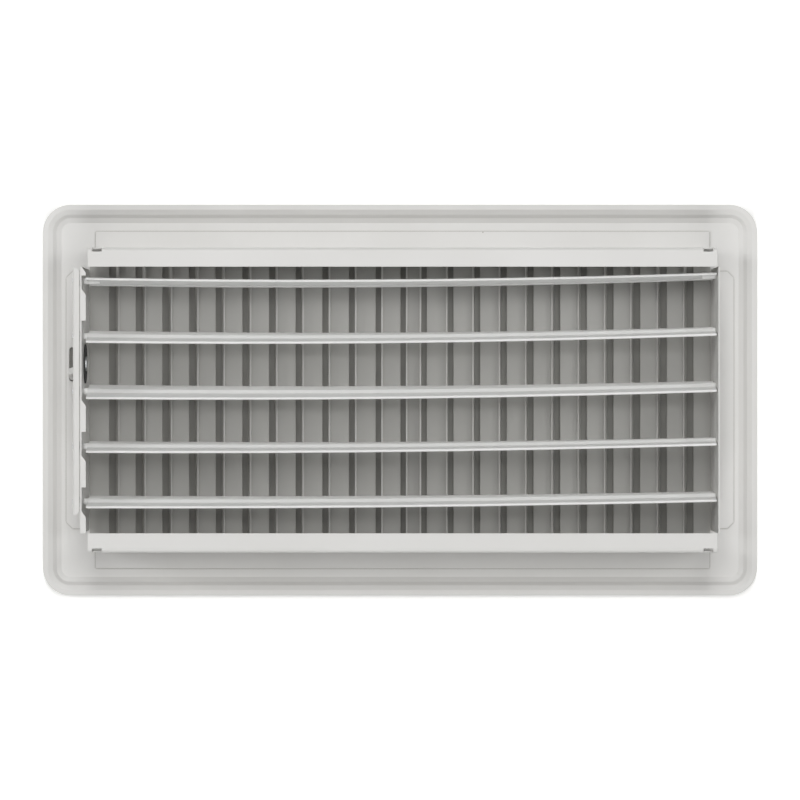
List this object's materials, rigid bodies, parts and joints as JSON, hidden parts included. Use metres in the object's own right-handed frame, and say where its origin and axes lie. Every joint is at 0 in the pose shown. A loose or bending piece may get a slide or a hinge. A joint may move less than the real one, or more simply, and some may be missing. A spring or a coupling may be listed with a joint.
{
  "type": "floor register",
  "caption": "Rectangular steel floor register with a finned face, a shallow drop-in box and linked damper blades that open and close with a toe lever.",
  "frame": {"origin": "centre of the bounding box at the level of the front face, which lies face down", "axes": "+X along the length of the register, +Y along its width, +Z out of the rear of the box"},
  "size_m": [0.342, 0.187, 0.0508],
  "materials": {
    "painted_steel": "semi-gloss",
    "bare_steel": "satin",
    "black_fibre": "matte"
  },
  "bodies": {
    "frame": {"face_plate": "painted_steel", "long_wall_upper": "painted_steel", "long_wall_lower": "painted_steel", "end_plate_left": "painted_steel", "end_plate_right": "painted_steel", "lever_rivet": "bare_steel", "friction_washer": "black_fibre"},
    "blade_1": {"damper_blade_1": "painted_steel", "damper_crank_1": "bare_steel"},
    "blade_2": {"damper_blade_2": "painted_steel", "damper_crank_2": "bare_steel"},
    "blade_3": {"damper_blade_3": "painted_steel", "damper_crank_3": "bare_steel"},
    "blade_4": {"damper_blade_4": "painted_steel", "damper_crank_4": "bare_steel"},
    "blade_5": {"damper_blade_5": "painted_steel", "damper_crank_5": "bare_steel"},
    "linkage": {"linkage_bar": "painted_steel"},
    "lever": {"operating_lever": "painted_steel"}
  },
  "joints": [
    {"name": "blade_1_turn", "type": "hinge", "parent": "frame", "child": "blade_1", "pos_m": [-0.1489, 0.0561, 0.032], "axis": [1, 0.0087, 0], "range_deg": [0, 72]},
    {"name": "blade_2_turn", "type": "hinge", "parent": "frame", "child": "blade_2", "pos_m": [-0.1489, 0.0301, 0.032], "axis": [1, 0.0087, 0], "range_deg": [0, 72]},
    {"name": "blade_3_turn", "type": "hinge", "parent": "frame", "child": "blade_3", "pos_m": [-0.1489, 0.0041, 0.032], "axis": [1, 0.0087, 0], "range_deg": [0, 72]},
    {"name": "blade_4_turn", "type": "hinge", "parent": "frame", "child": "blade_4", "pos_m": [-0.1489, -0.0219, 0.032], "axis": [1, 0.0087, 0], "range_deg": [0, 72]},
    {"name": "blade_5_turn", "type": "hinge", "parent": "frame", "child": "blade_5", "pos_m": [-0.1489, -0.0479, 0.032], "axis": [1, 0.0087, 0], "range_deg": [0, 72]},
    {"name": "linkage_swing", "type": "hinge", "parent": "blade_1", "child": "linkage", "pos_m": [-0.1528, 0.0561, 0.0365], "axis": [1, 0.0087, 0], "range_deg": [-72, 0]},
    {"name": "lever_turn", "type": "hinge", "parent": "frame", "child": "lever", "pos_m": [-0.15075, 0.0171, 0.03], "axis": [1, 0, 0], "range_deg": [0, 23.6]}
  ],
  "couplings": [
    {"joint": "blade_2_turn", "follows": "blade_1_turn", "ratio": 1},
    {"joint": "blade_3_turn", "follows": "blade_1_turn", "ratio": 1},
    {"joint": "blade_4_turn", "follows": "blade_1_turn", "ratio": 1},
    {"joint": "blade_5_turn", "follows": "blade_1_turn", "ratio": 1},
    {"joint": "linkage_swing", "follows": "blade_1_turn", "ratio": -1},
    {"joint": "lever_turn", "follows": "blade_1_turn", "ratio": 0.32778}
  ]
}
